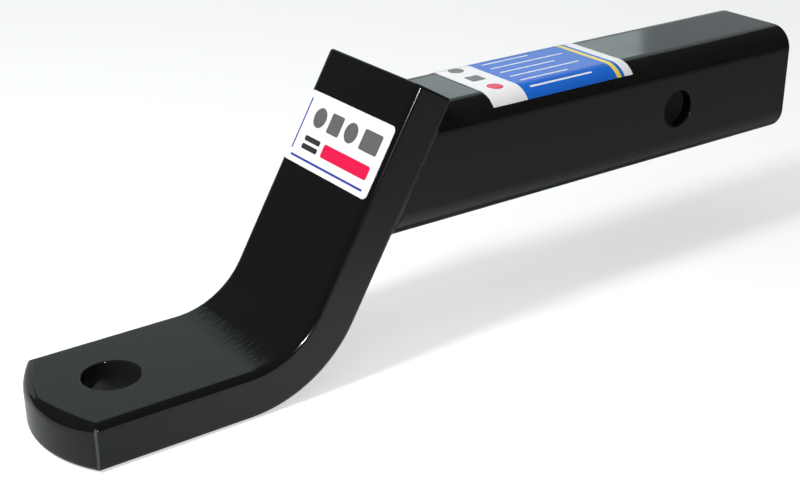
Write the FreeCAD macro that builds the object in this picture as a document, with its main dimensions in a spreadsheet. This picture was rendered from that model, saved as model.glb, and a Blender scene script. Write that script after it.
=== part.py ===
import FreeCAD
import Part
import Sketcher
import math
import os

# Drop ball mount: a hollow square shank, cut at a slant and welded to the back of a thick flat
# bar. The bar slopes down from the shank and bends into a level platform for the tow ball.
# Origin at the centre of the hitch pin hole, on the shank's axis. +X runs along the shank to its
# open end, +Y is left, +Z is up. Millimetres and degrees.

SIZES = (
    # Shank
    ("shank_side", 50.0, "outside width and height of the square tube"),
    ("shank_wall", 5.0, "wall of the tube"),
    ("shank_corner_radius", 10.5, "outside corner radius of the tube"),
    ("shank_tail", 72.4, "hitch pin hole to the open end"),
    ("shank_end_break", 0.8, "rounding of the outer edge of the open end"),
    ("pin_hole_dia", 16.7, "hitch pin hole through both side walls"),
    ("pin_to_plate", 148.4, "hitch pin hole to the back of the bar, along the axis"),
    # Bent bar
    ("plate_width", 62.0, "width of the bar"),
    ("plate_thickness", 19.0, "thickness of the bar"),
    ("plate_slope", 60.0, "slope of the bar's upper leg above level"),
    ("plate_rise", 6.7, "reach of the bar above the shank's top, along the slope"),
    ("bend_radius", 35.0, "inside radius of the bend"),
    ("platform_drop", 83.4, "top of the shank down to the top of the platform"),
    ("front_edge_radius", 3.0, "rounding around the bar's front and top face"),
    ("back_edge_radius", 2.5, "rounding around the bar's back and bottom face"),
    ("corner_extra", 0.3, "corner radius of the bar's ends beyond the front edge rounding"),
    # Ball hole and nose
    ("ball_to_pin", 266.4, "ball hole to hitch pin hole, along the shank"),
    ("ball_hole_dia", 22.4, "hole for the ball's stud"),
    ("nose_reach", 31.0, "ball hole to the tip of the nose"),
    ("nose_radius", 51.0, "radius of the nose in plan"),
    ("hole_break", 0.3, "rounding of the rims of the holes"),
    # Weld around the joint
    ("weld_leg", 3.4, "leg of the fillet weld on the bar"),
    ("weld_reach", 6.0, "leg of the fillet weld along the shank"),
    ("weld_root", 0.3, "depth to which the weld's far edge is drawn inside the shank's outline"),
    # Labels
    ("label_thickness", 0.2, "thickness of the printed labels"),
    ("label_adhesive", 0.1, "adhesive between a label and the coat under it"),
    ("label_corner_radius", 2.0, "corner radius of the label on the bar"),
    ("face_label_width", 58.4, "label on the bar, across it"),
    ("face_label_height", 30.0, "label on the bar, along the slope"),
    ("face_label_rise", 2.4, "middle of that label above the shank's axis, along the slope"),
    ("shank_label_length", 76.5, "label on the shank, along it"),
    ("shank_label_gap", 44.0, "back of the bar, on the axis, to the shank label's near end"),
    ("shank_label_edge", 20.4, "height of that label's lower edges above the axis"),
    # Drawing margin
    ("cut_margin", 2.0, "reach of a cutting outline past the stock that it cuts"),
)

# Places that several pieces share, as expressions of the sizes
PLATFORM_TOP = "(Sizes.platform_drop - Sizes.shank_side / 2)"
MITRE_SETBACK = "(Sizes.shank_side / 2 / tan(Sizes.plate_slope * 1 deg))"
MITRE_HEIGHT = "(Sizes.shank_side / sin(Sizes.plate_slope * 1 deg))"
NOSE_TIP = "(Sizes.ball_to_pin + Sizes.nose_reach)"
CORNER_RADIUS = "(Sizes.front_edge_radius + Sizes.corner_extra)"
UPPER_REACH = "(" + MITRE_HEIGHT + " / 2 + Sizes.plate_rise)"

ORIGIN = (-1, 1)
CENTRE = 3


def make_sheet(doc):
    sheet = doc.addObject("Spreadsheet::Sheet", "Sizes")
    for row, (alias, value, note) in enumerate(SIZES, start=1):
        sheet.set(f"A{row}", note)
        sheet.set(f"B{row}", str(value))
        sheet.setAlias(f"B{row}", alias)
    doc.recompute()
    return sheet


def number(item, expression):
    """Value of an expression of the sheet's cells, to start a sketch near its solution."""
    result = item.evalExpression(expression)
    return float(getattr(result, "Value", result))


def make_body(doc, label):
    body = doc.addObject("PartDesign::Body", label)
    body.Label = label
    return body


def make_sketch(body, name, role):
    sketch = body.newObject("Sketcher::SketchObject", name)
    plane = next(item for item in body.Origin.OriginFeatures if item.Role == role)
    sketch.AttachmentSupport = (plane, [""])
    sketch.MapMode = "FlatFace"
    return sketch


def make_cross_sketch(body, name, along):
    """Sketch square to the shank: its x is +Y, its y is +Z, at the given place along +X."""
    sketch = make_sketch(body, name, "YZ_Plane")
    sketch.setExpression("AttachmentOffset.Base.z", along)
    return sketch


def make_slope_sketch(body, name, along, above):
    """Sketch parallel to the bar's upper leg: its x is +Y, its y runs up the slope."""
    sketch = make_cross_sketch(body, name, along)
    lean = "90 deg - Sizes.plate_slope * 1 deg"
    turn = FreeCAD.Rotation(FreeCAD.Vector(1, 0, 0), number(sketch, lean))
    sketch.AttachmentOffset = FreeCAD.Placement(FreeCAD.Vector(), turn)
    sketch.setExpression("AttachmentOffset.Rotation.Angle", lean)
    sketch.setExpression("AttachmentOffset.Base.y", above)
    return sketch


def drive(sketch, name, constraint, expression):
    """Adds a dimension to a sketch and binds it to an expression of the sheet's cells."""
    index = sketch.addConstraint(Sketcher.Constraint(*constraint, number(sketch, expression)))
    sketch.renameConstraint(index, name)
    sketch.setExpression("Constraints." + name, expression)


def add_polygon(sketch, corners):
    """Closed outline through corners given as expressions of how far left and below the origin."""
    points = [FreeCAD.Vector(-number(sketch, left), -number(sketch, down), 0) for left, down in corners]
    lines = [sketch.addGeometry(Part.LineSegment(start, end))
             for start, end in zip(points, points[1:] + points[:1])]
    for line, following in zip(lines, lines[1:] + lines[:1]):
        sketch.addConstraint(Sketcher.Constraint("Coincident", line, 2, following, 1))
    for line, (left, down) in zip(lines, corners):
        drive(sketch, f"left_{line}", ("DistanceX", line, 1, *ORIGIN), left)
        drive(sketch, f"down_{line}", ("DistanceY", line, 1, *ORIGIN), down)


def add_rounded_rectangle(sketch, name, width, height, radius):
    """Closed outline with round corners, centred on the sketch's origin."""
    x = number(sketch, width) / 2
    y = number(sketch, height) / 2
    r = number(sketch, radius)
    normal = FreeCAD.Vector(0, 0, 1)
    arcs = []
    for quarter, (side, end) in enumerate(((1, -1), (1, 1), (-1, 1), (-1, -1))):
        circle = Part.Circle(FreeCAD.Vector(side * (x - r), end * (y - r), 0), normal, r)
        start = math.pi / 2 * (quarter - 1)
        arcs.append(sketch.addGeometry(Part.ArcOfCircle(circle, start, start + math.pi / 2)))
    sides = []
    for arc, following in zip(arcs, arcs[1:] + arcs[:1]):
        line = Part.LineSegment(sketch.getPoint(arc, 2), sketch.getPoint(following, 1))
        sides.append(sketch.addGeometry(line))
        sketch.addConstraint(Sketcher.Constraint("Tangent", arc, 2, sides[-1], 1))
        sketch.addConstraint(Sketcher.Constraint("Tangent", sides[-1], 2, following, 1))
    right, top, left, bottom = sides
    for line in (right, left):
        sketch.addConstraint(Sketcher.Constraint("Vertical", line))
    for line in (top, bottom):
        sketch.addConstraint(Sketcher.Constraint("Horizontal", line))
    for arc in arcs[1:]:
        sketch.addConstraint(Sketcher.Constraint("Equal", arcs[0], arc))
    drive(sketch, name + "_radius", ("Radius", arcs[0]), radius)
    drive(sketch, name + "_width", ("DistanceX", left, 1, right, 1), width)
    drive(sketch, name + "_height", ("DistanceY", bottom, 1, top, 1), height)
    drive(sketch, name + "_half_width", ("DistanceX", left, 1, *ORIGIN), width + " / 2")
    drive(sketch, name + "_half_height", ("DistanceY", bottom, 1, *ORIGIN), height + " / 2")


def add_circle(sketch, name, left, dia):
    """Circle on the sketch's level axis, the given distance left of the origin."""
    centre = FreeCAD.Vector(-number(sketch, left), 0, 0)
    circle = Part.Circle(centre, FreeCAD.Vector(0, 0, 1), number(sketch, dia) / 2)
    index = sketch.addGeometry(circle)
    sketch.addConstraint(Sketcher.Constraint("PointOnObject", index, CENTRE, -1))
    drive(sketch, name + "_left", ("DistanceX", index, CENTRE, *ORIGIN), left)
    drive(sketch, name + "_dia", ("Diameter", index), dia)


def pad(body, name, sketch, length, backwards=False):
    feature = body.newObject("PartDesign::Pad", name)
    feature.Profile = sketch
    feature.Reversed = backwards
    feature.setExpression("Length", length)
    body.Document.recompute()
    return feature


def cut_through(body, name, sketch):
    """Cuts a sketch right through the body, both ways, and makes sure that it removed something."""
    before = body.Shape.Volume
    feature = body.newObject("PartDesign::Pocket", name)
    feature.Profile = sketch
    feature.Type = "ThroughAll"
    feature.SideType = "Symmetric"
    body.Document.recompute()
    if not body.Shape.Volume < before:
        raise RuntimeError(name + " cut nothing")


def round_edges(body, name, radius, wanted):
    """Rounds the edges of the body that the test picks, with the edges that run on from them."""
    base = body.Tip
    picked = [f"Edge{index}" for index, edge in enumerate(base.Shape.Edges, start=1) if wanted(edge)]
    if not picked:
        raise RuntimeError(name + " found no edge")
    feature = body.newObject("PartDesign::Fillet", name)
    feature.Base = (base, picked)
    feature.setExpression("Radius", radius)
    body.Document.recompute()


def near(value, target):
    return abs(value - target) < 0.01


def is_straight(edge):
    return isinstance(edge.Curve, (Part.Line, Part.LineSegment))


def is_circle(edge, radius):
    return isinstance(edge.Curve, Part.Circle) and near(edge.Curve.Radius, radius)


def middle(edge):
    return edge.valueAt((edge.FirstParameter + edge.LastParameter) / 2)


def draw_bar_path(sketch):
    """Middle line of the bar: level platform, bend, upper leg."""
    radius = "(Sizes.bend_radius + Sizes.plate_thickness / 2)"
    start_left = NOSE_TIP + " + Sizes.cut_margin"
    start_down = PLATFORM_TOP + " + Sizes.plate_thickness / 2"
    slope = "Sizes.plate_slope * 1 deg"
    end_left = ("Sizes.pin_to_plate - " + UPPER_REACH + f" * cos({slope})"
                + f" + Sizes.plate_thickness / 2 * sin({slope})")
    end_up = UPPER_REACH + f" * sin({slope}) + Sizes.plate_thickness / 2 * cos({slope})"

    angle = math.radians(number(sketch, "Sizes.plate_slope"))
    bend = number(sketch, radius)
    level = -number(sketch, start_down)
    start = FreeCAD.Vector(-number(sketch, start_left), level, 0)
    end = FreeCAD.Vector(-number(sketch, end_left), number(sketch, end_up), 0)
    foot = end.x - (end.y - level) / math.tan(angle)
    tangent = bend * math.tan(angle / 2)
    centre = FreeCAD.Vector(foot - tangent, level + bend, 0)
    circle = Part.Circle(centre, FreeCAD.Vector(0, 0, 1), bend)
    arc_shape = Part.ArcOfCircle(circle, -math.pi / 2, angle - math.pi / 2)

    platform = sketch.addGeometry(Part.LineSegment(start, arc_shape.StartPoint))
    arc = sketch.addGeometry(arc_shape)
    leg = sketch.addGeometry(Part.LineSegment(arc_shape.EndPoint, end))
    sketch.addConstraint(Sketcher.Constraint("Horizontal", platform))
    sketch.addConstraint(Sketcher.Constraint("Tangent", platform, 2, arc, 1))
    sketch.addConstraint(Sketcher.Constraint("Tangent", arc, 2, leg, 1))
    drive(sketch, "bend", ("Radius", arc), radius)
    drive(sketch, "slope", ("Angle", leg), slope)
    drive(sketch, "start_left", ("DistanceX", platform, 1, *ORIGIN), start_left)
    drive(sketch, "start_down", ("DistanceY", platform, 1, *ORIGIN), start_down)
    drive(sketch, "end_left", ("DistanceX", leg, 2, *ORIGIN), end_left)
    drive(sketch, "end_up", ("DistanceY", *ORIGIN, leg, 2), end_up)


def draw_nose_cut(sketch):
    """Outline of what is cut away in front of the nose's arc."""
    centre_left = NOSE_TIP + " - Sizes.nose_radius"
    half = "(Sizes.plate_width / 2 + Sizes.cut_margin)"
    front_left = NOSE_TIP + " + 2 * Sizes.cut_margin"
    radius = number(sketch, "Sizes.nose_radius")
    reach = number(sketch, half)
    spread = math.asin(reach / radius)
    centre = FreeCAD.Vector(-number(sketch, centre_left), 0, 0)
    circle = Part.Circle(centre, FreeCAD.Vector(0, 0, 1), radius)
    arc_shape = Part.ArcOfCircle(circle, math.pi - spread, math.pi + spread)
    front = -number(sketch, front_left)
    corners = [arc_shape.EndPoint, FreeCAD.Vector(front, -reach, 0),
               FreeCAD.Vector(front, reach, 0), arc_shape.StartPoint]

    arc = sketch.addGeometry(arc_shape)
    right, ahead, left = [sketch.addGeometry(Part.LineSegment(a, b)) for a, b in zip(corners, corners[1:])]
    for first, second in ((arc, right), (right, ahead), (ahead, left), (left, arc)):
        sketch.addConstraint(Sketcher.Constraint("Coincident", first, 2, second, 1))
    sketch.addConstraint(Sketcher.Constraint("PointOnObject", arc, CENTRE, -1))
    sketch.addConstraint(Sketcher.Constraint("Horizontal", right))
    sketch.addConstraint(Sketcher.Constraint("Horizontal", left))
    sketch.addConstraint(Sketcher.Constraint("Vertical", ahead))
    drive(sketch, "nose_radius", ("Radius", arc), "Sizes.nose_radius")
    drive(sketch, "centre_left", ("DistanceX", arc, CENTRE, *ORIGIN), centre_left)
    drive(sketch, "front_left", ("DistanceX", ahead, 1, *ORIGIN), front_left)
    drive(sketch, "half_left", ("DistanceY", *ORIGIN, ahead, 2), half)
    drive(sketch, "half_right", ("DistanceY", ahead, 1, *ORIGIN), half)


def make_drop_plate(doc):
    """Flat bar bent to a level platform, with a round nose, a ball hole and softened edges."""
    body = make_body(doc, "drop_plate")
    path = make_sketch(body, "bar_path", "XZ_Plane")
    draw_bar_path(path)
    section = make_cross_sketch(body, "bar_section", "-(" + NOSE_TIP + " + Sizes.cut_margin)")
    half = "Sizes.plate_width / 2"
    top = PLATFORM_TOP
    bottom = top + " + Sizes.plate_thickness"
    add_polygon(section, ((half, bottom), ("-" + half, bottom), ("-" + half, top), (half, top)))
    doc.recompute()
    bar = body.newObject("PartDesign::AdditivePipe", "bar")
    bar.Profile = section
    bar.Spine = (path, ["Edge1", "Edge2", "Edge3"])
    doc.recompute()

    nose = make_sketch(body, "nose_outline", "XY_Plane")
    draw_nose_cut(nose)
    cut_through(body, "nose_cut", nose)
    hole = make_sketch(body, "ball_hole_outline", "XY_Plane")
    add_circle(hole, "ball_hole", "Sizes.ball_to_pin", "Sizes.ball_hole_dia")
    cut_through(body, "ball_hole", hole)

    half_width = number(body, half)
    thickness = number(body, "Sizes.plate_thickness")
    top_z = -number(body, top)
    ball_x = -number(body, "Sizes.ball_to_pin")
    rim = number(body, "Sizes.ball_hole_dia / 2")

    def is_end_corner(edge):
        place = middle(edge)
        at_end = place.x < ball_x or place.z > 0
        return is_straight(edge) and near(edge.Length, thickness) and near(abs(place.y), half_width) and at_end

    def is_platform_side(edge, level):
        place = middle(edge)
        return is_straight(edge) and near(place.z, level) and near(abs(place.y), half_width)

    round_edges(body, "end_corners", CORNER_RADIUS, is_end_corner)
    round_edges(body, "front_edges", "Sizes.front_edge_radius",
                lambda edge: is_platform_side(edge, top_z))
    round_edges(body, "back_edges", "Sizes.back_edge_radius",
                lambda edge: is_platform_side(edge, top_z - thickness))
    round_edges(body, "ball_hole_rims", "Sizes.hole_break", lambda edge: is_circle(edge, rim))
    return body


def make_shank_tube(doc):
    """Square tube, cut to the slope of the bar at one end, with a pin hole through both sides."""
    body = make_body(doc, "shank_tube")
    front = "(Sizes.pin_to_plate + " + MITRE_SETBACK + " + Sizes.cut_margin)"
    section = make_cross_sketch(body, "tube_section", "-" + front)
    inner = "(Sizes.shank_side - 2 * Sizes.shank_wall)"
    add_rounded_rectangle(section, "outside", "Sizes.shank_side", "Sizes.shank_side",
                          "Sizes.shank_corner_radius")
    add_rounded_rectangle(section, "inside", inner, inner,
                          "Sizes.shank_corner_radius - Sizes.shank_wall")
    pad(body, "tube", section, front + " + Sizes.shank_tail")

    mitre = make_sketch(body, "mitre_outline", "XZ_Plane")
    half = "(Sizes.shank_side / 2 + Sizes.cut_margin)"
    lean = "(" + half + " / tan(Sizes.plate_slope * 1 deg))"
    ahead = front + " + 2 * Sizes.cut_margin"
    add_polygon(mitre, (("Sizes.pin_to_plate - " + lean, "-" + half), (ahead, "-" + half),
                        (ahead, half), ("Sizes.pin_to_plate + " + lean, half)))
    cut_through(body, "mitre", mitre)
    hole = make_sketch(body, "pin_hole_outline", "XZ_Plane")
    add_circle(hole, "pin_hole", "0", "Sizes.pin_hole_dia")
    cut_through(body, "pin_hole", hole)

    rim = number(body, "Sizes.pin_hole_dia / 2")
    side = number(body, "Sizes.shank_side / 2")
    tail = number(body, "Sizes.shank_tail")
    round_edges(body, "pin_hole_rims", "Sizes.hole_break",
                lambda edge: is_circle(edge, rim) and near(abs(middle(edge).y), side))
    round_edges(body, "open_end_edge", "Sizes.shank_end_break",
                lambda edge: near(middle(edge).x, tail) and near(abs(middle(edge).y), side))
    return body


def make_weld_bead(doc):
    """Fillet weld that runs right around the shank where it meets the back of the bar."""
    body = make_body(doc, "weld_bead")
    toe = make_slope_sketch(body, "toe_on_bar", "-Sizes.pin_to_plate", "0")
    add_rounded_rectangle(toe, "toe", "(Sizes.shank_side + 2 * Sizes.weld_leg)",
                          "(" + MITRE_HEIGHT + " + 2 * Sizes.weld_leg)",
                          "Sizes.shank_corner_radius + Sizes.weld_leg")
    end = make_slope_sketch(body, "toe_on_shank", "Sizes.weld_reach - Sizes.pin_to_plate", "0")
    add_rounded_rectangle(end, "end", "(Sizes.shank_side - 2 * Sizes.weld_root)",
                          "(" + MITRE_HEIGHT + " - 2 * Sizes.weld_root)",
                          "Sizes.shank_corner_radius")
    doc.recompute()
    bead = body.newObject("PartDesign::AdditiveLoft", "bead")
    bead.Profile = toe
    bead.Sections = [end]
    bead.Ruled = True
    doc.recompute()
    shank = make_cross_sketch(body, "shank_outline", "-Sizes.pin_to_plate")
    add_rounded_rectangle(shank, "shank", "Sizes.shank_side", "Sizes.shank_side",
                          "Sizes.shank_corner_radius")
    cut_through(body, "shank_space", shank)
    return body


def make_face_label(doc):
    """Printed label across the front of the bar's upper leg."""
    body = make_body(doc, "face_label")
    slope = "Sizes.plate_slope * 1 deg"
    depth = "(Sizes.plate_thickness + Sizes.label_adhesive)"
    along = f"Sizes.face_label_rise * cos({slope}) - {depth} * sin({slope}) - Sizes.pin_to_plate"
    above = f"Sizes.face_label_rise * sin({slope}) + {depth} * cos({slope})"
    outline = make_slope_sketch(body, "face_label_outline", along, above)
    add_rounded_rectangle(outline, "label", "Sizes.face_label_width", "Sizes.face_label_height",
                          "Sizes.label_corner_radius")
    pad(body, "sheet", outline, "Sizes.label_thickness", backwards=True)
    return body


def make_shank_label(doc):
    """Printed label wrapped over the top of the shank and its upper corners."""
    body = make_body(doc, "shank_label")
    start = "(Sizes.shank_label_gap - Sizes.pin_to_plate)"
    section = make_cross_sketch(body, "wrap_section", start)
    for name, lift in (("inside", "Sizes.label_adhesive"),
                       ("outside", "(Sizes.label_adhesive + Sizes.label_thickness)")):
        side = f"(Sizes.shank_side + 2 * {lift})"
        add_rounded_rectangle(section, name, side, side, f"Sizes.shank_corner_radius + {lift}")
    pad(body, "wrap", section, "Sizes.shank_label_length")
    below = make_cross_sketch(body, "below_label", start)
    half = "(Sizes.shank_side / 2 + Sizes.cut_margin)"
    edge = "-Sizes.shank_label_edge"
    add_polygon(below, ((half, half), ("-" + half, half), ("-" + half, edge), (half, edge)))
    cut_through(body, "lower_part", below)
    return body


def check(doc, bodies):
    for item in doc.Objects:
        if "Invalid" in item.State or "Error" in item.State:
            raise RuntimeError(item.Name + " failed: " + ", ".join(item.State))
    for body in bodies:
        if body.Shape.isNull() or not body.Shape.isValid():
            raise RuntimeError(body.Label + " has no valid shape")
        if len(body.Shape.Solids) != 1:
            raise RuntimeError(body.Label + " is not one solid")


def main():
    doc = FreeCAD.newDocument("drop_ball_mount")
    make_sheet(doc)
    makers = (make_shank_tube, make_drop_plate, make_weld_bead, make_face_label, make_shank_label)
    bodies = [make(doc) for make in makers]
    doc.recompute()
    check(doc, bodies)
    os.makedirs("parts", exist_ok=True)
    for body in bodies:
        body.Shape.exportStep(f"parts/{body.Label}.step")


main()
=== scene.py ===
import math

import bmesh
import bpy
from bpy.props import FloatProperty, FloatVectorProperty, IntProperty, PointerProperty
from mathutils import Matrix, Vector


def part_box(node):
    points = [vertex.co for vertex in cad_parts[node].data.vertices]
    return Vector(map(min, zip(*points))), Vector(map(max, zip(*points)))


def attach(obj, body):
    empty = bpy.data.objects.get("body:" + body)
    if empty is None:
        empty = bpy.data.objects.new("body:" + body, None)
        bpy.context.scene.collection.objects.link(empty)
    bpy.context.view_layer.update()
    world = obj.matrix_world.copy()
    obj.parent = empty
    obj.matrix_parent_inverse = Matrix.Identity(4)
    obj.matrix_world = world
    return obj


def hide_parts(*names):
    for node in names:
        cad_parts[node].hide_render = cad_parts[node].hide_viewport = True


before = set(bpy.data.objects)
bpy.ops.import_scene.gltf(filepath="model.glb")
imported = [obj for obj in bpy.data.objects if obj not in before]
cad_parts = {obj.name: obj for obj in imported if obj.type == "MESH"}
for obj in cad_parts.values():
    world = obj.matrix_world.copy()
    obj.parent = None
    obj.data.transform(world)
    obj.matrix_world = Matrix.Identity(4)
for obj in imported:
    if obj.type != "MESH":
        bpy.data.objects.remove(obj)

bl_info = {
    "name": "Drop ball mount",
    "version": (1, 0, 0),
    "blender": (4, 5, 0),
    "location": "View3D > Sidebar > Ball mount",
    "description": "Gloss black coat, rippled weld, printed labels and a stage for a ball mount",
    "category": "Object",
}

MM = 0.001
SHANK_LOW, SHANK_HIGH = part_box("shank_tube")
PLATE_LOW, PLATE_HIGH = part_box("drop_plate")
WRAP_LOW, WRAP_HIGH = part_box("shank_label")
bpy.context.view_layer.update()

# Print of the labels: bars of ink as (across, up, width, height, corner radius, ink), in
# millimetres
FACE_PRINT = (
    (0.0, -12.3, 51.0, 0.9, 0.4, "rule"),
    (-26.4, 1.0, 0.9, 22.0, 0.4, "rule"),
    (-16.5, 5.6, 8.4, 8.4, 4.2, "grey"),
    (-5.5, 5.6, 8.4, 8.4, 0.9, "grey"),
    (5.5, 5.6, 8.4, 8.4, 4.2, "grey"),
    (19.0, 5.6, 12.0, 8.4, 0.9, "grey"),
    (9.0, -5.6, 32.0, 5.6, 1.2, "red"),
    (-15.3, -3.9, 11.0, 2.2, 0.8, "dark"),
    (-15.3, -7.3, 11.0, 2.2, 0.8, "dark"),
)
WRAP_PRINT = (
    (-29.5, 0.0, 18.0, 90.0, 0.3, "white"),
    (-29.5, -13.0, 7.0, 7.0, 3.5, "red"),
    (-29.5, 0.0, 7.0, 7.0, 0.9, "grey"),
    (-29.5, 13.0, 7.0, 7.0, 3.5, "grey"),
    (36.0, 0.0, 5.0, 90.0, 0.3, "white"),
    (30.4, 0.0, 2.4, 58.0, 0.4, "yellow"),
    (1.0, -19.2, 34.0, 0.9, 0.4, "white"),
    (-3.0, -12.8, 26.0, 0.9, 0.4, "white"),
    (3.0, -6.4, 38.0, 0.9, 0.4, "white"),
    (-1.0, 0.0, 30.0, 0.9, 0.4, "white"),
    (4.0, 6.4, 40.0, 0.9, 0.4, "white"),
    (-3.0, 12.8, 26.0, 0.9, 0.4, "white"),
    (1.0, 19.2, 34.0, 0.9, 0.4, "white"),
)


# Settings

def length(name, description, default, low=0.0):
    return FloatProperty(name=name, description=description, default=default, min=low,
                         unit="LENGTH", subtype="DISTANCE", precision=5)


def angle(name, description, degrees):
    return FloatProperty(name=name, description=description, default=math.radians(degrees),
                         unit="ROTATION", subtype="ANGLE")


def factor(name, description, default):
    return FloatProperty(name=name, description=description, default=default, min=0.0, max=1.0,
                         subtype="FACTOR")


def amount(name, description, default):
    return FloatProperty(name=name, description=description, default=default, min=0.0)


def count(name, description, default):
    return IntProperty(name=name, description=description, default=default, min=2)


def colour(name, description, default):
    return FloatVectorProperty(name=name, description=description, default=default, min=0.0,
                               max=1.0, size=3, subtype="COLOR")


class BarSettings(bpy.types.PropertyGroup):
    """Bent flat bar"""
    thickness: length("Thickness", "Thickness of the bar", 19 * MM)
    slope: angle("Slope", "Slope of the upper leg above level", 60)
    bend_radius: length("Bend radius", "Inside radius of the bend", 35 * MM)
    back_to_pin: length("Back to pin", "Pin hole to the bar's back, along the shank's axis",
                        148.4 * MM)
    leg_reach: length("Leg reach", "Reach of the upper leg above the shank's axis, along its front",
                      35.57 * MM)
    nose_radius: length("Nose radius", "Radius of the nose in plan", 51 * MM)
    hole_setback: length("Hole setback", "Tip of the nose to the ball hole", 31 * MM)
    hole_radius: length("Hole radius", "Radius of the ball hole", 11.2 * MM)
    front_round: length("Front rounding", "Rounding of the front and top edges", 3.0 * MM)
    back_round: length("Back rounding", "Rounding of the back and bottom edges", 2.5 * MM)
    end_round: length("End rounding", "Rounding around the upper end", 1.2 * MM)
    corner_soft: length("Corner softness", "Reach of the soft look of the nose's upright corners",
                        1.5 * MM)
    rim_round: length("Rim rounding", "Rounding of the ball hole's rims", 0.5 * MM)
    nose_dressing: factor("Nose dressing",
                          "Growth of the nose's edge rounding between tip and corners", 0.7)
    nose_steps: count("Nose steps", "Facets of half the nose", 18)
    bend_steps: count("Bend steps", "Facets of the bend", 30)


class CoatSettings(bpy.types.PropertyGroup):
    """Gloss black coat on the steel"""
    black: colour("Black", "Colour of the coat", (0.0042, 0.0044, 0.0047))
    # Painted highlight: a lighter colour on the nose's upright corners that stands in for a
    # reflection
    corner_highlight: colour("Corner highlight", "Colour where the coat is thin on a sharp corner", (0.087, 0.093, 0.095))
    # Inside grey: colour of the thin dull coat, set lighter as painted fill light inside the shank
    # and on the ball hole's wall
    inside: colour("Inside", "Colour of the thin coat inside the shank", (0.30, 0.30, 0.29))
    # Painted fill light: a share of the inside grey lightens the wall of the ball hole
    bore_light_share: factor("Bore share", "Share of that colour on the wall of the ball hole", 0.038)
    gloss: factor("Roughness", "Mean roughness of the coat", 0.11)
    gloss_change: factor("Roughness change", "How far the roughness strays over the surface", 0.04)
    bare_gloss: factor("Inside roughness", "Roughness of the thin coat inside the shank", 0.75)
    peel_pitch: length("Orange peel pitch", "Spacing of the fine waves in the coat",
                       1.6 * MM, 0.0001)
    peel_depth: length("Orange peel depth", "Depth of those waves", 0.004 * MM)
    swell_pitch: length("Swell pitch", "Spacing of the slow unevenness of rolled steel",
                        16 * MM, 0.001)
    swell_depth: length("Swell depth", "Depth of that unevenness", 0.02 * MM)
    crease_pitch: length("Crease pitch", "Spacing of the fine creases in the bend",
                         1.5 * MM, 0.0001)
    crease_depth: length("Crease depth", "Depth of those creases", 0.09 * MM)


class WeldSettings(bpy.types.PropertyGroup):
    """Fillet weld around the joint"""
    leg: length("Leg", "Reach of the weld on the bar", 3.4 * MM)
    reach: length("Reach", "Reach of the weld along the shank", 6.0 * MM)
    shank_corner: length("Shank corner", "Outside corner radius of the shank", 10.5 * MM)
    ripple_pitch: length("Ripple pitch", "Distance from one ripple to the next", 2.1 * MM, 0.0005)
    ripple_depth: length("Ripple depth", "Height of a ripple", 0.2 * MM)
    stations: count("Stations", "Steps of the bead around the shank", 640)


class LabelSettings(bpy.types.PropertyGroup):
    """Printed labels"""
    white: colour("White", "Ground of the labels", (0.80, 0.80, 0.81))
    blue: colour("Blue", "Bright blue ink", (0.010, 0.125, 0.58))
    rule: colour("Rule", "Deep blue ink of thin rules", (0.022, 0.045, 0.34))
    red: colour("Red", "Red ink", (0.70, 0.010, 0.065))
    grey: colour("Grey", "Grey ink", (0.115, 0.115, 0.120))
    dark: colour("Dark", "Dark ink", (0.030, 0.030, 0.034))
    yellow: colour("Yellow", "Yellow ink", (0.80, 0.66, 0.07))
    gloss: factor("Roughness", "Roughness of the printed film", 0.24)
    adhesive: length("Adhesive", "Adhesive under the film", 0.1 * MM)
    film: length("Film", "Thickness of the film", 0.2 * MM)
    face_width: length("Face label width", "Label on the bar, across it", 58.4 * MM)
    face_height: length("Face label height", "Label on the bar, along the slope", 30 * MM)
    face_rise: length("Face label rise",
                      "Middle of that label above the shank's axis, along the slope", 2.4 * MM)
    corner: length("Corner", "Corner radius of the label on the bar", 2 * MM)


class StageSettings(bpy.types.PropertyGroup):
    """Camera, lights and floor"""
    camera_place: FloatVectorProperty(name="Camera", description="Place of the camera", size=3,
                                      default=(-0.4428, -0.43176, 0.19793), unit="LENGTH",
                                      subtype="TRANSLATION")
    camera_azimuth: angle("Azimuth", "Turn of the camera about the upright axis", -35.58)
    camera_elevation: angle("Elevation", "How far the camera looks down", 24.07)
    camera_roll: angle("Roll", "Tilt of the camera about its own axis", -0.12)
    lens: FloatProperty(name="Lens", description="Focal length for a frame 36 mm wide",
                        default=62.67, min=1.0)
    room: amount("Room", "Dim light from all around", 0.078)
    key: amount("Key softbox", "Brightness of the tall softbox to the left", 49.0)
    lamp: amount("Front lamp", "Brightness of the small lamp in front", 500.0)
    top: amount("Top softbox", "Brightness of the softbox overhead", 1.0)
    card: amount("Back cards", "Brightness of the cards behind", 0.41)
    floor: colour("Floor", "Colour of the floor", (0.40, 0.42, 0.415))
    # Painted pool of light: the floor's colour is lighter in front of the bend
    pool: amount("Light pool", "How much lighter the floor is in front of the bend", 0.7)
    pool_reach: length("Light pool reach", "Radius of that lighter floor", 0.19)
    floor_glow: amount("Floor glow", "Light that keeps the floor white in the picture", 0.63)


class BallMountSettings(bpy.types.PropertyGroup):
    """All settings of the ball mount"""
    bar: PointerProperty(type=BarSettings)
    coat: PointerProperty(type=CoatSettings)
    weld: PointerProperty(type=WeldSettings)
    label: PointerProperty(type=LabelSettings)
    stage: PointerProperty(type=StageSettings)


# Shader building

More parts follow.
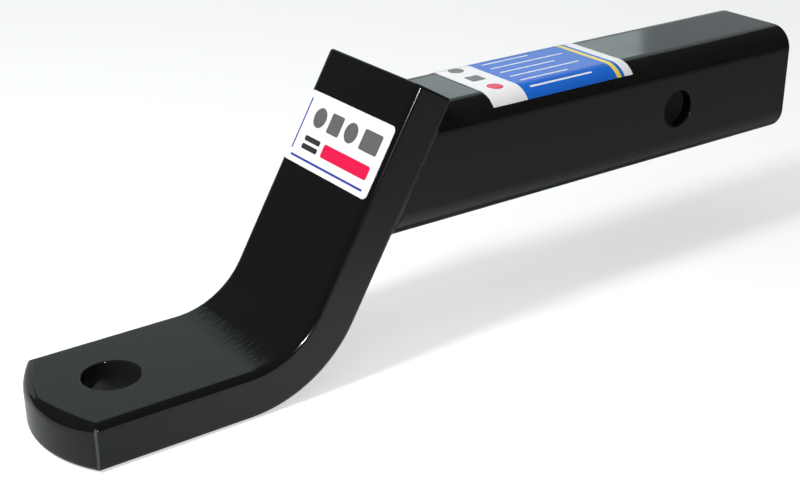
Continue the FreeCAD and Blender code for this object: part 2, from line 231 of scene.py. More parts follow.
COAT_IOR = 1.5
GLOSS_PATCHES = 60.0  # patches of uneven gloss, per metre
DUST_SCALE = 1500.0  # specks of dust, per metre
DUST_RANGE = (0.76, 0.82)  # noise between which a speck fades in
DUST_LIFT = 4  # brightness of a speck over that of the coat
CREASE_STRETCH = (0.16, 1.0, 0.16)
CREASE_CORE = 0.4  # part of the creased length that has the full depth
CREASE_BEFORE = 4 * MM  # reach of the creases on the platform, before the bend
CREASE_AFTER = 24 * MM  # their reach from the start of the bend into it
HIGHLIGHT_REACH = 0.9 * MM  # width of the painted highlight on the nose's corners
HIGHLIGHT_CORE = 0.5  # part of that width with the full painted highlight
HIGHLIGHT_SCALE = 420.0  # raggedness of its edge, per metre
HIGHLIGHT_NOISE = (0.3, 0.7)
HIGHLIGHT_RANGE = (0.5, 1.25)
INSIDE_SHARE = 0.801  # inside of the shank, as a part of its outside
BORE_MARGIN = 0.1 * MM
INK_EDGE = 0.06  # half the soft edge of a printed bar, in millimetres
TONE_SCALE = 180.0  # unevenness of the print, per metre
TONE_RANGE = (0.94, 1.06)
FILM_SCALE = 900.0  # unevenness of the film's gloss, per metre
FILM_NOISE = (0.2, 0.8)
FILM_CHANGE = 0.05
FILM_WAVES = 160.0  # slow waves of the film, per metre
FILM_WAVE_DEPTH = 0.02 * MM


class Nodes:
    """Short way to add linked shader nodes to a tree"""

    def __init__(self, tree):
        self.tree = tree
        self.column = 0

    def add(self, kind, inputs=None, **fields):
        node = self.tree.nodes.new(kind)
        self.column += 1
        node.location = (180 * self.column, 0)
        for field, value in fields.items():
            setattr(node, field, value)
        for key, value in (inputs or {}).items():
            self.feed(node.inputs[key], value)
        return node

    def feed(self, socket, value):
        if isinstance(value, bpy.types.NodeSocket):
            self.tree.links.new(value, socket)
        else:
            socket.default_value = value

    def math(self, operation, first, second=0.0, clamp=False):
        node = self.add("ShaderNodeMath", operation=operation, use_clamp=clamp)
        self.feed(node.inputs[0], first)
        self.feed(node.inputs[1], second)
        return node.outputs[0]

    def remap(self, value, low, high, new_low, new_high, smooth=False):
        node = self.add("ShaderNodeMapRange", {"Value": value, "From Min": low, "From Max": high,
                                               "To Min": new_low, "To Max": new_high})
        if smooth:
            node.interpolation_type = "SMOOTHSTEP"
        return node.outputs["Result"]

    def blend(self, mask, first, second):
        node = self.add("ShaderNodeMix", data_type="RGBA")
        self.feed(node.inputs["Factor"], mask)
        self.feed([s for s in node.inputs if s.name == "A" and s.type == "RGBA"][0], first)
        self.feed([s for s in node.inputs if s.name == "B" and s.type == "RGBA"][0], second)
        return [s for s in node.outputs if s.type == "RGBA"][0]

    def noise(self, vector, scale, detail=2.0, roughness=0.5):
        node = self.add("ShaderNodeTexNoise", {"Vector": vector, "Scale": scale, "Detail": detail,
                                               "Roughness": roughness})
        return node.outputs["Fac"]

    def split(self, vector):
        return self.add("ShaderNodeSeparateXYZ", {"Vector": vector}).outputs

    def distance(self, first, second):
        """Length of a way told by its two parts at right angles"""
        squares = [self.math("MULTIPLY", part, part) for part in (first, second)]
        return self.math("SQRT", self.math("ADD", *squares))

    def bump(self, height):
        fields = {"Height": height, "Distance": 1.0, "Strength": 1.0}
        return self.add("ShaderNodeBump", fields).outputs["Normal"]


def new_group(name, inputs, outputs):
    """Empty node group with named sockets, its builder, and its input and output nodes"""
    tree = bpy.data.node_groups.new(name, "ShaderNodeTree")
    for socket, kind in inputs:
        tree.interface.new_socket(socket, in_out="INPUT", socket_type=kind)
    for socket, kind in outputs:
        tree.interface.new_socket(socket, in_out="OUTPUT", socket_type=kind)
    nodes = Nodes(tree)
    return tree, nodes, nodes.add("NodeGroupInput").outputs, nodes.add("NodeGroupOutput").inputs


def make_coat_group():
    """Unevenness of a sprayed gloss coat: fine orange peel over the slow swell of rolled steel"""
    value = "NodeSocketFloat"
    tree, nodes, given, put = new_group(
        "sprayed_coat",
        [("Place", "NodeSocketVector"), ("Peel scale", value), ("Peel depth", value),
         ("Swell scale", value), ("Swell depth", value), ("Gloss", value), ("Gloss change", value)],
        [("Height", value), ("Roughness", value), ("Dust", value)])
    peel = nodes.noise(given["Place"], given["Peel scale"], 1.5)
    swell = nodes.noise(given["Place"], given["Swell scale"], 2.0)
    nodes.feed(put["Height"], nodes.math("ADD", nodes.math("MULTIPLY", peel, given["Peel depth"]),
                                         nodes.math("MULTIPLY", swell, given["Swell depth"])))
    patches = nodes.noise(given["Place"], GLOSS_PATCHES, 4.0, 0.6)
    stray = nodes.math("MULTIPLY", nodes.math("SUBTRACT", patches, 0.5), given["Gloss change"])
    rough = nodes.math("ADD", given["Gloss"], nodes.math("MULTIPLY", stray, 2.0))
    nodes.feed(put["Roughness"], rough)
    specks = nodes.noise(given["Place"], DUST_SCALE, 1.0)
    nodes.feed(put["Dust"], nodes.remap(specks, *DUST_RANGE, 0.0, 1.0))
    return tree


def make_bar_group():
    """Mask of a plain printed bar with soft corners, in the label's own plane, in millimetres"""
    value = "NodeSocketFloat"
    tree, nodes, given, put = new_group(
        "printed_bar",
        [("Across", value), ("Up", value), ("Middle across", value), ("Middle up", value),
         ("Half width", value), ("Half height", value), ("Radius", value)],
        [("Mask", value)])
    beyond = []
    for place, middle, half in (("Across", "Middle across", "Half width"),
                                ("Up", "Middle up", "Half height")):
        offset = nodes.math("ABSOLUTE", nodes.math("SUBTRACT", given[place], given[middle]))
        inner = nodes.math("SUBTRACT", given[half], given["Radius"])
        beyond.append(nodes.math("MAXIMUM", nodes.math("SUBTRACT", offset, inner), 0.0))
    edge = nodes.math("SUBTRACT", given["Radius"], nodes.distance(*beyond))
    nodes.feed(put["Mask"], nodes.remap(edge, -INK_EDGE, INK_EDGE, 0.0, 1.0))
    return tree


def new_tree(name):
    """Material with an empty node tree, and the builder of that tree"""
    material = bpy.data.materials.new(name)
    material.use_nodes = True
    material.node_tree.nodes.clear()
    return material, Nodes(material.node_tree)


def new_material(name):
    """Material with a Principled shader, still without its looks"""
    material, nodes = new_tree(name)
    shader = nodes.add("ShaderNodeBsdfPrincipled")
    nodes.add("ShaderNodeOutputMaterial", {"Surface": shader.outputs[0]})
    return material, nodes, shader


def opaque(ink):
    return (*ink, 1.0)


class Coat:
    """Gloss black coat, open to further effects before it is closed"""

    def __init__(self, name, settings):
        self.settings = settings
        self.material, self.nodes, self.shader = new_material(name)
        self.place = self.nodes.add("ShaderNodeTexCoord").outputs["Object"]
        coat = self.nodes.add("ShaderNodeGroup", node_tree=bpy.data.node_groups["sprayed_coat"])
        for socket, value in (("Place", self.place),
                              ("Peel scale", 1 / settings.peel_pitch),
                              ("Peel depth", settings.peel_depth),
                              ("Swell scale", 1 / settings.swell_pitch),
                              ("Swell depth", settings.swell_depth),
                              ("Gloss", settings.gloss),
                              ("Gloss change", settings.gloss_change)):
            self.nodes.feed(coat.inputs[socket], value)
        self.height = coat.outputs["Height"]
        self.roughness = coat.outputs["Roughness"]
        dusty = tuple(DUST_LIFT * part for part in settings.black)
        self.colour = self.nodes.blend(coat.outputs["Dust"], opaque(settings.black), opaque(dusty))

    def add_creases(self, low, high):
        """Fine creases along the bar at the bend, between two places along x"""
        split = self.nodes.split(self.place)
        squeeze = self.nodes.add("ShaderNodeVectorMath", operation="MULTIPLY")
        self.nodes.feed(squeeze.inputs[0], self.place)
        squeeze.inputs[1].default_value = CREASE_STRETCH
        crease = self.nodes.noise(squeeze.outputs[0], 1 / self.settings.crease_pitch, 2.0, 0.6)
        middle, half = (low + high) / 2, (high - low) / 2
        offset = self.nodes.math("ABSOLUTE", self.nodes.math("SUBTRACT", split["X"], middle))
        mask = self.nodes.remap(offset, CREASE_CORE * half, half, 1.0, 0.0, smooth=True)
        depth = self.nodes.math("MULTIPLY", crease, self.settings.crease_depth)
        self.height = self.nodes.math("ADD", self.height, self.nodes.math("MULTIPLY", depth, mask))

    def add_painted_corner_highlight(self, x, y, reach):
        """Painted highlight on the upright corners of the nose: a lighter ragged streak in the
        coat's colour
        """
        split = self.nodes.split(self.place)
        along = self.nodes.math("SUBTRACT", split["X"], x)
        across = self.nodes.math("SUBTRACT", self.nodes.math("ABSOLUTE", split["Y"]), y)
        noise = self.nodes.noise(self.place, HIGHLIGHT_SCALE, 3.0, 0.6)
        ragged = self.nodes.remap(noise, *HIGHLIGHT_NOISE, *HIGHLIGHT_RANGE)
        away = self.nodes.math("DIVIDE", self.nodes.distance(along, across), ragged)
        mask = self.nodes.remap(away, HIGHLIGHT_CORE * reach, reach, 1.0, 0.0, smooth=True)
        self.colour = self.nodes.blend(mask, self.colour, opaque(self.settings.corner_highlight))

    def add_dull_inside_with_painted_light(self, half):
        """Thin dull coat inside the shank; its lighter grey is partly painted fill light in the
        hollow
        """
        split = self.nodes.split(self.place)
        outward = self.nodes.math("MAXIMUM", self.nodes.math("ABSOLUTE", split["Y"]),
                                  self.nodes.math("ABSOLUTE", split["Z"]))
        inside = self.nodes.math("LESS_THAN", outward, half)
        gap = self.nodes.math("SUBTRACT", self.settings.bare_gloss, self.roughness)
        duller = self.nodes.math("MULTIPLY", gap, inside)
        self.roughness = self.nodes.math("ADD", self.roughness, duller)
        # lighter grey inside: the dull coat's colour, partly painted fill light
        self.colour = self.nodes.blend(inside, self.colour, opaque(self.settings.inside))

    def add_painted_bore_light(self, x, radius):
        """Painted fill light on the wall of the ball hole: a share of the lighter inside grey, x
        being the hole's place along the shank
        """
        split = self.nodes.split(self.place)
        away = self.nodes.distance(self.nodes.math("SUBTRACT", split["X"], x), split["Y"])
        bore = self.nodes.math("LESS_THAN", away, radius + BORE_MARGIN)
        share = self.nodes.math("MULTIPLY", bore, self.settings.bore_light_share)
        self.colour = self.nodes.blend(share, self.colour, opaque(self.settings.inside))

    def close(self):
        """Links the effects to the shader"""
        self.nodes.feed(self.shader.inputs["Base Color"], self.colour)
        self.nodes.feed(self.shader.inputs["Roughness"], self.roughness)
        self.nodes.feed(self.shader.inputs["Normal"], self.nodes.bump(self.height))
        self.shader.inputs["IOR"].default_value = COAT_IOR
        return self.material


def make_print(name, settings, ground, bars):
    """Printed film: a ground with the plain bars of ink of a print table"""
    material, nodes, shader = new_material(name)
    place = nodes.split(nodes.add("ShaderNodeUVMap", uv_map="print").outputs["UV"])
    inked = opaque(getattr(settings, ground))
    for across, up, width, height, radius, ink in bars:
        bar = nodes.add("ShaderNodeGroup", node_tree=bpy.data.node_groups["printed_bar"])
        for socket, value in (("Across", place["X"]), ("Up", place["Y"]),
                              ("Middle across", across), ("Middle up", up),
                              ("Half width", width / 2), ("Half height", height / 2),
                              ("Radius", radius)):
            nodes.feed(bar.inputs[socket], value)
        inked = nodes.blend(bar.outputs["Mask"], inked, opaque(getattr(settings, ink)))
    spot = nodes.add("ShaderNodeTexCoord").outputs["Object"]
    tone = nodes.remap(nodes.noise(spot, TONE_SCALE, 3.0), 0.0, 1.0, *TONE_RANGE)
    shade = nodes.add("ShaderNodeHueSaturation", {"Color": inked, "Value": tone})
    nodes.feed(shader.inputs["Base Color"], shade.outputs["Color"])
    rough = nodes.remap(nodes.noise(spot, FILM_SCALE, 2.0), *FILM_NOISE,
                        settings.gloss - FILM_CHANGE, settings.gloss + FILM_CHANGE)
    nodes.feed(shader.inputs["Roughness"], rough)
    waves = nodes.math("MULTIPLY", nodes.noise(spot, FILM_WAVES, 2.0), FILM_WAVE_DEPTH)
    nodes.feed(shader.inputs["Normal"], nodes.bump(waves))
    return material


# Mesh building

SHARP_ANGLE = 32  # degrees between faces above which an edge is drawn sharp
BAR_SHARP_ANGLE = 60
TOUCH = 1e-6  # places closer than this are the same
RIM_STEPS = 40  # facets of half the ball hole
EDGE_SEGMENTS = 8
RIM_SEGMENTS = 3
END_SEGMENTS = 4
DRESSING_LIMIT = 1.01  # reach of the nose's dressing, as a part of the rounding
DRESSING_INWARD = 0.8  # growth along the platform, as a part of that down the nose
BEAD_ROWS = 8
BEAD_WAVER = ((0.07, 9 * MM, 0.0), (0.05, 3.7 * MM, 1.0))  # share, pitch, phase
BEAD_BULGE = 0.14  # bulge of the weld, as a part of its leg
BEAD_CRESCENT = 0.5  # how far the ripples curve back at the weld's edges
CORNER_STEPS = 6
FACE_CUTS = (0.0, 0.3 * MM, 0.6 * MM, 0.9 * MM)  # folds over the bar's edge
WRAP_CORNER = 0.4 * MM
WRAP_STEPS = 12


def finish_piece(name, shape, material, node, sharp=SHARP_ANGLE):
    """Puts a mesh in the scene as the piece that stands for a node of the frame"""
    bmesh.ops.recalc_face_normals(shape, faces=shape.faces)
    mesh = bpy.data.meshes.new(name)
    shape.to_mesh(mesh)
    shape.free()
    mesh.shade_smooth()
    mesh.set_sharp_from_angle(angle=math.radians(sharp))
    piece = bpy.data.objects.new(name, mesh)
    bpy.context.scene.collection.objects.link(piece)
    even = piece.modifiers.new("even_normals", "WEIGHTED_NORMAL")
    even.keep_sharp = True
    mesh.materials.append(material)
    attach(piece, "root")
    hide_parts(node)


def dress(node, material):
    """Gives a node of the frame its finish"""
    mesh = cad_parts[node].data
    mesh.materials.clear()
    mesh.materials.append(material)


def steps(low, high, number):
    """Places from low to high, the first one left out"""
    return [low + (high - low) * index / number for index in range(1, number + 1)]


def cut_across(shape, places, direction):
    """Cuts a mesh by planes square to a direction"""
    for place in places:
        everything = shape.verts[:] + shape.edges[:] + shape.faces[:]
        bmesh.ops.bisect_plane(shape, geom=everything, plane_co=direction * place,
                               plane_no=direction)


class Bend:
    """Places on the bent bar, told by the way along its front and the depth under it.

    The way along the front counts from the start of the bend.
    """

    def __init__(self, bar):
        self.radius = bar.bend_radius
        self.slope = bar.slope
        self.top = PLATE_LOW.z + bar.thickness
        inward = Vector((math.sin(bar.slope), 0, -math.cos(bar.slope)))
        axis_point = Vector((-bar.back_to_pin, 0, 0)) - bar.thickness * inward
        rise = self.top + self.radius * (1 - math.cos(bar.slope)) - axis_point.z
        bend_end = axis_point.x + rise / math.tan(bar.slope)
        self.start = bend_end - self.radius * math.sin(bar.slope)
        self.end = self.radius * bar.slope
        self.axis_way = self.end - rise / math.sin(bar.slope)

    def place(self, way, across, depth):
        """Place in the frame of a point of the flat bar"""
        if way < 0:
            return Vector((self.start + way, across, self.top - depth))
        turn = min(way / self.radius, self.slope)
        straight = max(way - self.end, 0)
        x = self.start + (self.radius + depth) * math.sin(turn) + straight * math.cos(turn)
        z = self.radius - (self.radius + depth) * math.cos(turn) + straight * math.sin(turn)
        return Vector((x, across, self.top + z))


def nose_corner(bar):
    """Place along x where the nose's arc meets the sides"""
    half = PLATE_HIGH.y
    return PLATE_LOW.x + bar.nose_radius - math.sqrt(bar.nose_radius ** 2 - half ** 2)


def make_flat_bar(bar, bend):
    """Bar before it is bent, along x, with its front face up at z = 0"""
    shape = bmesh.new()
    known = {}

    def vert(x, y, z):
        key = (round(x / MM, 4), round(y / MM, 4), round(z / MM, 4))
        if key not in known:
            known[key] = shape.verts.new((x, y, z))
        return known[key]

    half = PLATE_HIGH.y
    tip = PLATE_LOW.x - bend.start
    end = bend.axis_way + bar.leg_reach
    centre = tip + bar.nose_radius
    hole = tip + bar.hole_setback
    spread = math.asin(half / bar.nose_radius)
    for side in (-1, 1):
        arc = [(centre - bar.nose_radius * math.cos(turn),
                side * bar.nose_radius * math.sin(turn))
               for turn in steps(0, spread, bar.nose_steps)]
        rim = [(hole + bar.hole_radius * math.cos(turn), side * bar.hole_radius * math.sin(turn))
               for turn in steps(0, math.pi, RIM_STEPS)[:-1]]
        loop = [(tip, 0), *arc, (end, side * half), (end, 0), (hole + bar.hole_radius, 0), *rim,
                (hole - bar.hole_radius, 0)]
        for level in (0, -bar.thickness):
            shape.faces.new([vert(x, y, level) for x, y in loop])
        for first, second in zip(loop, loop[1:] + loop[:1]):
            if first[1] or second[1]:
                shape.faces.new([vert(*first, 0), vert(*second, 0), vert(*second, -bar.thickness),
                                 vert(*first, -bar.thickness)])
    bmesh.ops.recalc_face_normals(shape, faces=shape.faces)
    return shape, hole, end


def dress_nose(shape, bar, bend):
    """Wider rounding of the nose's upper edge between the tip and the corners"""
    centre = PLATE_LOW.x - bend.start + bar.nose_radius
    spread = math.asin(PLATE_HIGH.y / bar.nose_radius)
    limit = DRESSING_LIMIT * bar.front_round
    for vert in shape.verts:
        out = Vector((vert.co.x - centre, vert.co.y))
        inset = bar.nose_radius - out.length
        turn = abs(math.atan2(out.y, -out.x))
        if turn < spread and inset < limit and vert.co.z > -limit:
            growth = bar.nose_dressing * math.sin(math.pi * turn / spread)
            vert.co.z *= 1 + growth
            vert.co.xy -= DRESSING_INWARD * growth * inset * out.normalized()


def round_off(shape, edges, radius, segments):
    """Rounds edges of a mesh"""
    bmesh.ops.bevel(shape, geom=edges, offset=radius, offset_type="OFFSET", segments=segments,
                    profile=0.5, affect="EDGES", clamp_overlap=False)


def make_bent_bar(bar):
    """Bent bar with a round nose, a ball hole and rounded edges"""
    bend = Bend(bar)
    shape, hole, end = make_flat_bar(bar, bend)

    def is_at_end(edge):
        return all(abs(vert.co.x - end) < TOUCH for vert in edge.verts)

    def border(level, of_hole):
        picked = []
        for edge in shape.edges:
            flat = all(abs(vert.co.z - level) < TOUCH for vert in edge.verts)
            walls = any(abs(face.normal.z) < 0.1 for face in edge.link_faces)
            middle = (edge.verts[0].co + edge.verts[1].co) / 2
            at_hole = math.hypot(middle.x - hole, middle.y) < bar.hole_radius + MM
            if flat and walls and at_hole == of_hole and not is_at_end(edge):
                picked.append(edge)
        return picked

    for level, radius in ((0, bar.front_round), (-bar.thickness, bar.back_round)):
        round_off(shape, border(level, False), radius, EDGE_SEGMENTS)
        round_off(shape, border(level, True), bar.rim_round, RIM_SEGMENTS)
    dress_nose(shape, bar, bend)
    rim = [edge for edge in shape.edges if len(edge.link_faces) == 2 and is_at_end(edge)
           and any(abs(face.normal.x) < 0.5 for face in edge.link_faces)]
    round_off(shape, rim, bar.end_round, END_SEGMENTS)
    beside_nose = nose_corner(bar) - bend.start + bar.corner_soft
    cuts = [beside_nose, 0.0, *steps(0, bend.end, bar.bend_steps)]
    cut_across(shape, cuts, Vector((1, 0, 0)))
    for vert in shape.verts:
        vert.co = bend.place(vert.co.x, vert.co.y, -vert.co.z)
    return shape


class BALLMOUNT_OT_finishes(bpy.types.Operator):
    """Build the shared effects of the coat and the print"""
    bl_idname = "ballmount.finishes"
    bl_label = "Shared finishes"

    def execute(self, context):
        make_coat_group()
        make_bar_group()
        return {"FINISHED"}


class BALLMOUNT_OT_bar(bpy.types.Operator):
    """Build the bent bar with its ball hole"""
    bl_idname = "ballmount.bar"
    bl_label = "Bent bar"

    def execute(self, context):
        settings = context.scene.ball_mount
        coat = Coat("plate_gloss_black", settings.coat)
        bend = Bend(settings.bar)
        coat.add_creases(bend.start - CREASE_BEFORE, bend.start + CREASE_AFTER)
        # Painted highlight: lighter streaks on the nose's upright corners
        coat.add_painted_corner_highlight(nose_corner(settings.bar), PLATE_HIGH.y, HIGHLIGHT_REACH)
        # Painted fill light on the wall of the ball hole
        coat.add_painted_bore_light(PLATE_LOW.x + settings.bar.hole_setback, settings.bar.hole_radius)
        shape = make_bent_bar(settings.bar)
        finish_piece("bent_bar", shape, coat.close(), "drop_plate", BAR_SHARP_ANGLE)
        return {"FINISHED"}


class BALLMOUNT_OT_shank(bpy.types.Operator):
    """Coat the square shank"""
    bl_idname = "ballmount.shank"
    bl_label = "Square shank"

    def execute(self, context):
        coat = Coat("shank_gloss_black", context.scene.ball_mount.coat)
        # Dull thin coat inside the shank, with painted fill light in its grey
        coat.add_dull_inside_with_painted_light(INSIDE_SHARE * SHANK_HIGH.y)
        dress("shank_tube", coat.close())
        return {"FINISHED"}


def shank_outline(half, corner, number):
    """Even steps around a square with round corners: across, up and the outward direction"""
    flat = 2 * (half - corner)
    quarter = math.pi / 2 * corner
    side = flat + quarter
    found = []
    for index in range(number):
        which, way = divmod(4 * side * index / number, side)
        if way < flat:
            spot, out = Vector((half, way - flat / 2)), Vector((1, 0))
        else:
            turn = (way - flat) / corner
            out = Vector((math.cos(turn), math.sin(turn)))
            spot = Vector((half - corner, half - corner)) + corner * out
        spin = Matrix.Rotation(which * math.pi / 2, 2)
        found.append((spin @ spot, spin @ out, 4 * side * index / number))
    return found


def make_bead(weld, bar):
    """Fillet weld with ripples where the shank meets the bar's back"""
    shape = bmesh.new()
    rings = []
    outline = shank_outline(SHANK_HIGH.y, weld.shank_corner, weld.stations)
    lean = 1 / math.tan(bar.slope)
    for spot, out, way in outline:
        root = Vector((spot.y * lean - bar.back_to_pin, spot.x, spot.y))
        along = Vector((1, 0, 0))
        up_bar = Vector((out.y * lean, out.x, out.y)).normalized()
        bulge = (weld.leg * along + weld.reach * up_bar).normalized()
        waver = 1 + sum(share * math.sin(way / pitch + phase) for share, pitch, phase in BEAD_WAVER)
        ring = [shape.verts.new(root)]
        for row in range(BEAD_ROWS + 1):
            part = row / BEAD_ROWS
            phase = way / weld.ripple_pitch + BEAD_CRESCENT * (2 * part - 1) ** 2
            ripple = weld.ripple_depth * abs(math.sin(math.pi * phase))
            lift = (BEAD_BULGE * weld.leg * waver + ripple) * math.sin(math.pi * part)
            toe = waver * ((1 - part) * weld.reach * along + part * weld.leg * up_bar)
            ring.append(shape.verts.new(root + toe + lift * bulge))
        rings.append(ring)
    for ring, following in zip(rings, rings[1:] + rings[:1]):
        for index in range(len(ring)):
            beside = (index + 1) % len(ring)
            shape.faces.new((ring[index], ring[beside], following[beside], following[index]))
    return shape


class BALLMOUNT_OT_weld(bpy.types.Operator):
    """Build the rippled weld"""
    bl_idname = "ballmount.weld"
    bl_label = "Weld"

    def execute(self, context):
        settings = context.scene.ball_mount
        coat = Coat("weld_gloss_black", settings.coat)
        bead = make_bead(settings.weld, settings.bar)
        finish_piece("weld_ripples", bead, coat.close(), "weld_bead")
        return {"FINISHED"}


def make_film(width, height, corner, low, high):
    """Flat film around the origin, with round corners, between two heights"""
    shape = bmesh.new()
    spots = []
    for quarter, (side, end) in enumerate(((1, 1), (-1, 1), (-1, -1), (1, -1))):
        for index in range(CORNER_STEPS + 1):
            turn = math.pi / 2 * (quarter + index / CORNER_STEPS)
            spots.append((side * (width / 2 - corner) + corner * math.cos(turn),
                          end * (height / 2 - corner) + corner * math.sin(turn)))
    rings = [[shape.verts.new((x, y, level)) for x, y in spots] for level in (low, high)]
    for ring in rings:
        shape.faces.new(ring)
    for first, second in zip(range(len(spots)), [*range(1, len(spots)), 0]):
        shape.faces.new((rings[0][first], rings[0][second], rings[1][second], rings[1][first]))
    return shape


def write_print_places(shape):
    """Keeps each corner's place on the flat film, in millimetres, for the print"""
    layer = shape.loops.layers.uv.new("print")
    for face in shape.faces:
        for loop in face.loops:
            loop[layer].uv = (loop.vert.co.x / MM, loop.vert.co.y / MM)


def wrap_over(distance, flat, radius):
    """Sideways place and drop of a point that runs over a rounded edge"""
    beyond = max(abs(distance) - flat, 0)
    turn = beyond / radius
    reach = min(abs(distance), flat) + radius * math.sin(turn)
    return math.copysign(reach, distance), radius * (1 - math.cos(turn)), turn


def make_face_film(label, bar):
    """Label across the front of the upper leg, its sides pressed over the rounded edges"""
    bend = Bend(bar)
    shape = make_film(label.face_width, label.face_height, label.corner, label.adhesive,
                      label.adhesive + label.film)
    flat = PLATE_HIGH.y - bar.front_round
    for side in (-1, 1):
        cut_across(shape, [side * (flat + extra) for extra in FACE_CUTS], Vector((1, 0, 0)))
    write_print_places(shape)
    for vert in shape.verts:
        across, drop, turn = wrap_over(-vert.co.x, flat, bar.front_round)
        lift = vert.co.z
        across += math.copysign(lift * math.sin(turn), across)
        way = bend.axis_way + label.face_rise + vert.co.y
        vert.co = bend.place(way, across, drop - lift * math.cos(turn))
    return shape


def make_wrap_film(label, weld):
    """Label over the top of the shank and down its upper corners"""
    half = SHANK_HIGH.y
    flat = half - weld.shank_corner
    lowest = (WRAP_LOW.z - flat) / weld.shank_corner
    across = 2 * (flat + weld.shank_corner * math.acos(lowest))
    length_along = WRAP_HIGH.x - WRAP_LOW.x
    shape = make_film(length_along, across, WRAP_CORNER, label.adhesive,
                      label.adhesive + label.film)
    folds = (0.0, *steps(0, across / 2 - flat, WRAP_STEPS)[:-1])
    for side in (-1, 1):
        cut_across(shape, [side * (flat + part) for part in folds], Vector((0, 1, 0)))
    write_print_places(shape)
    for vert in shape.verts:
        sideways, drop, turn = wrap_over(vert.co.y, flat, weld.shank_corner)
        lift = vert.co.z
        sideways += math.copysign(lift * math.sin(turn), sideways)
        vert.co = Vector(((WRAP_LOW.x + WRAP_HIGH.x) / 2 + vert.co.x, sideways,
                          half - drop + lift * math.cos(turn)))
    return shape


class BALLMOUNT_OT_labels(bpy.types.Operator):
    """Build and print the labels"""
    bl_idname = "ballmount.labels"
    bl_label = "Labels"

    def execute(self, context):
        settings = context.scene.ball_mount
        label = settings.label
        film = make_face_film(label, settings.bar)
        ink = make_print("face_label_print", label, "white", FACE_PRINT)
        finish_piece("face_label_film", film, ink, "face_label")
        film = make_wrap_film(label, settings.weld)
        ink = make_print("shank_label_print", label, "blue", WRAP_PRINT)
        finish_piece("shank_label_film", film, ink, "shank_label")
        return {"FINISHED"}


# Stage

FLOOR_HALF = 6.0
FLOOR_GAP = 0.1 * MM
POOL_PLACE = (-0.15, -0.05)  # middle of the painted pool of light on the floor
TOP_OFFSET = (-0.3, -0.1, 1.05)
TOP_SIZE = 1.3
LAMP_PLACE = (-0.40, -1.21, 0.275)
LAMP_SIZE = 0.07
KEY_TOWARD = (-0.63, -0.05, 0.74)
KEY_AWAY = 0.95
KEY_WIDTH, KEY_HEIGHT = 0.18, 0.32
CARD_AWAY = 1.2
CARD_TINT = (0.84, 0.99, 1.0)
# Cards behind: name, direction, width, height, share of their brightness
CARDS = (
    ("back_card", (0.53, 0.85, 0.36), 1.35, 0.85, 1.0),
    ("low_card", (-0.19, 0.97, 0.19), 0.58, 0.62, 1.0),
    ("strip_card", (0.57, 0.753, 0.328), 0.5, 0.14, 1.9),
)
FRAME_WIDTH = 36.0
CLIP_START = 0.01


def add_softbox(name, place, target, width, height, brightness, tint=(1.0, 1.0, 1.0)):
    """Area lamp of a given brightness that looks at a target"""
    lamp = bpy.data.lights.new(name, "AREA")
    lamp.shape = "RECTANGLE"
    lamp.size = width
    lamp.size_y = height
    lamp.energy = brightness * math.pi * width * height
    lamp.color = tint
    box = bpy.data.objects.new(name, lamp)
    box.location = place
    box.rotation_euler = (Vector(target) - Vector(place)).to_track_quat("-Z", "Y").to_euler()
    bpy.context.scene.collection.objects.link(box)
    return box


def make_floor_material(settings):
    """Pale floor that shows white and keeps the shadow, with a pool of light painted into its
    colour in front of the bend
    """
    material, nodes = new_tree("stage_floor")
    split = nodes.split(nodes.add("ShaderNodeTexCoord").outputs["Object"])
    offsets = [nodes.math("SUBTRACT", split[axis], place) for axis, place in zip("XY", POOL_PLACE)]
    # Painted pool of light: lighter floor colour around POOL_PLACE
    pool = nodes.remap(nodes.distance(*offsets), 0.0, settings.pool_reach, 1.0, 0.0, smooth=True)
    lighter = tuple((1 + settings.pool) * part for part in settings.floor)
    shade = nodes.blend(pool, opaque(settings.floor), opaque(lighter))
    paper = nodes.add("ShaderNodeBsdfDiffuse", {"Color": shade})
    path = nodes.add("ShaderNodeLightPath").outputs
    seen = nodes.math("ADD", path["Is Camera Ray"], path["Is Transmission Ray"], clamp=True)
    strength = nodes.math("MULTIPLY", seen, settings.floor_glow)
    glow = nodes.add("ShaderNodeEmission", {"Strength": strength})
    both = nodes.add("ShaderNodeAddShader")
    nodes.feed(both.inputs[0], paper.outputs[0])
    nodes.feed(both.inputs[1], glow.outputs[0])
    nodes.add("ShaderNodeOutputMaterial", {"Surface": both.outputs[0]})
    return material


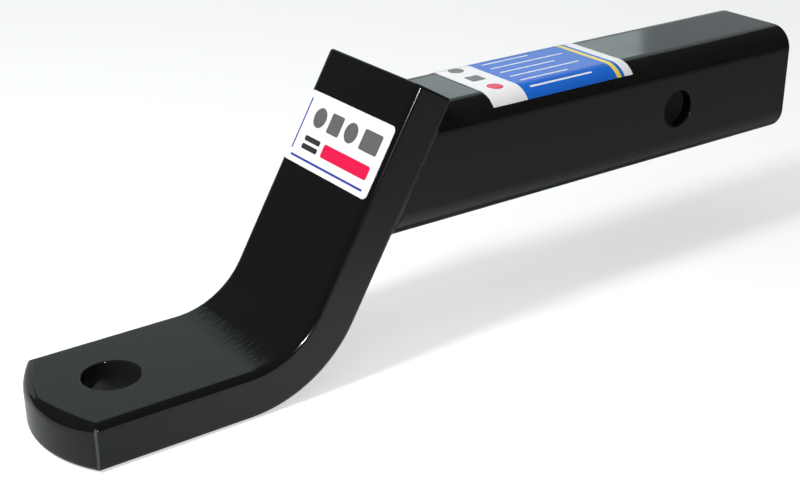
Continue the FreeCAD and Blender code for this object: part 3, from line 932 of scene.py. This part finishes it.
class BALLMOUNT_OT_stage(bpy.types.Operator):
    """Set up the floor, the lamps and the camera"""
    bl_idname = "ballmount.stage"
    bl_label = "Stage"

    def execute(self, context):
        settings = context.scene.ball_mount.stage
        scene = context.scene
        scene.view_settings.view_transform = "Standard"

        mesh = bpy.data.meshes.new("stage_floor")
        level = PLATE_LOW.z - FLOOR_GAP
        corners = [(FLOOR_HALF * x, FLOOR_HALF * y, level)
                   for x, y in ((-1, -1), (1, -1), (1, 1), (-1, 1))]
        mesh.from_pydata(corners, [], [(0, 1, 2, 3)])
        mesh.materials.append(make_floor_material(settings))
        floor = bpy.data.objects.new("stage_floor", mesh)
        scene.collection.objects.link(floor)

        world = bpy.data.worlds.new("dim_room")
        scene.world = world
        world.use_nodes = True
        background = world.node_tree.nodes["Background"]
        background.inputs["Color"].default_value = (1, 1, 1, 1)
        background.inputs["Strength"].default_value = settings.room

        middle = (PLATE_LOW + SHANK_HIGH) / 2
        top = add_softbox("top_softbox", middle + Vector(TOP_OFFSET), middle, TOP_SIZE, TOP_SIZE,
                          settings.top)
        top.visible_glossy = False
        lamp = add_softbox("front_lamp", LAMP_PLACE, middle, LAMP_SIZE, LAMP_SIZE, settings.lamp)
        lamp.visible_diffuse = False
        place = middle + KEY_AWAY * Vector(KEY_TOWARD).normalized()
        key = add_softbox("key_softbox", place, middle, KEY_WIDTH, KEY_HEIGHT, settings.key)
        key.visible_glossy = False
        for name, toward, width, height, share in CARDS:
            place = middle + CARD_AWAY * Vector(toward).normalized()
            add_softbox(name, place, middle, width, height, share * settings.card, CARD_TINT)

        camera = bpy.data.cameras.new("photo_camera")
        camera.sensor_width = FRAME_WIDTH
        camera.lens = settings.lens
        camera.clip_start = CLIP_START
        view = bpy.data.objects.new("photo_camera", camera)
        view.matrix_world = (Matrix.Translation(settings.camera_place)
                             @ Matrix.Rotation(settings.camera_azimuth, 4, "Z")
                             @ Matrix.Rotation(math.pi / 2 - settings.camera_elevation, 4, "X")
                             @ Matrix.Rotation(settings.camera_roll, 4, "Z"))
        scene.collection.objects.link(view)
        scene.camera = view
        return {"FINISHED"}


class BALLMOUNT_PT_panel(bpy.types.Panel):
    """Pieces of the ball mount"""
    bl_label = "Ball mount"
    bl_space_type = "VIEW_3D"
    bl_region_type = "UI"
    bl_category = "Ball mount"

    def draw(self, context):
        for operator in OPERATORS:
            self.layout.operator(operator.bl_idname)


OPERATORS = (BALLMOUNT_OT_finishes, BALLMOUNT_OT_bar, BALLMOUNT_OT_shank, BALLMOUNT_OT_weld,
             BALLMOUNT_OT_labels, BALLMOUNT_OT_stage)
CLASSES = (BarSettings, CoatSettings, WeldSettings, LabelSettings, StageSettings, BallMountSettings,
           *OPERATORS, BALLMOUNT_PT_panel)


def register():
    for cls in CLASSES:
        bpy.utils.register_class(cls)
    bpy.types.Scene.ball_mount = PointerProperty(type=BallMountSettings)


def unregister():
    del bpy.types.Scene.ball_mount
    for cls in reversed(CLASSES):
        bpy.utils.unregister_class(cls)


def main():
    register()
    bpy.ops.ballmount.finishes()
    bpy.ops.ballmount.bar()
    bpy.ops.ballmount.shank()
    bpy.ops.ballmount.weld()
    bpy.ops.ballmount.labels()
    bpy.ops.ballmount.stage()


if __name__ == "__main__":
    main()
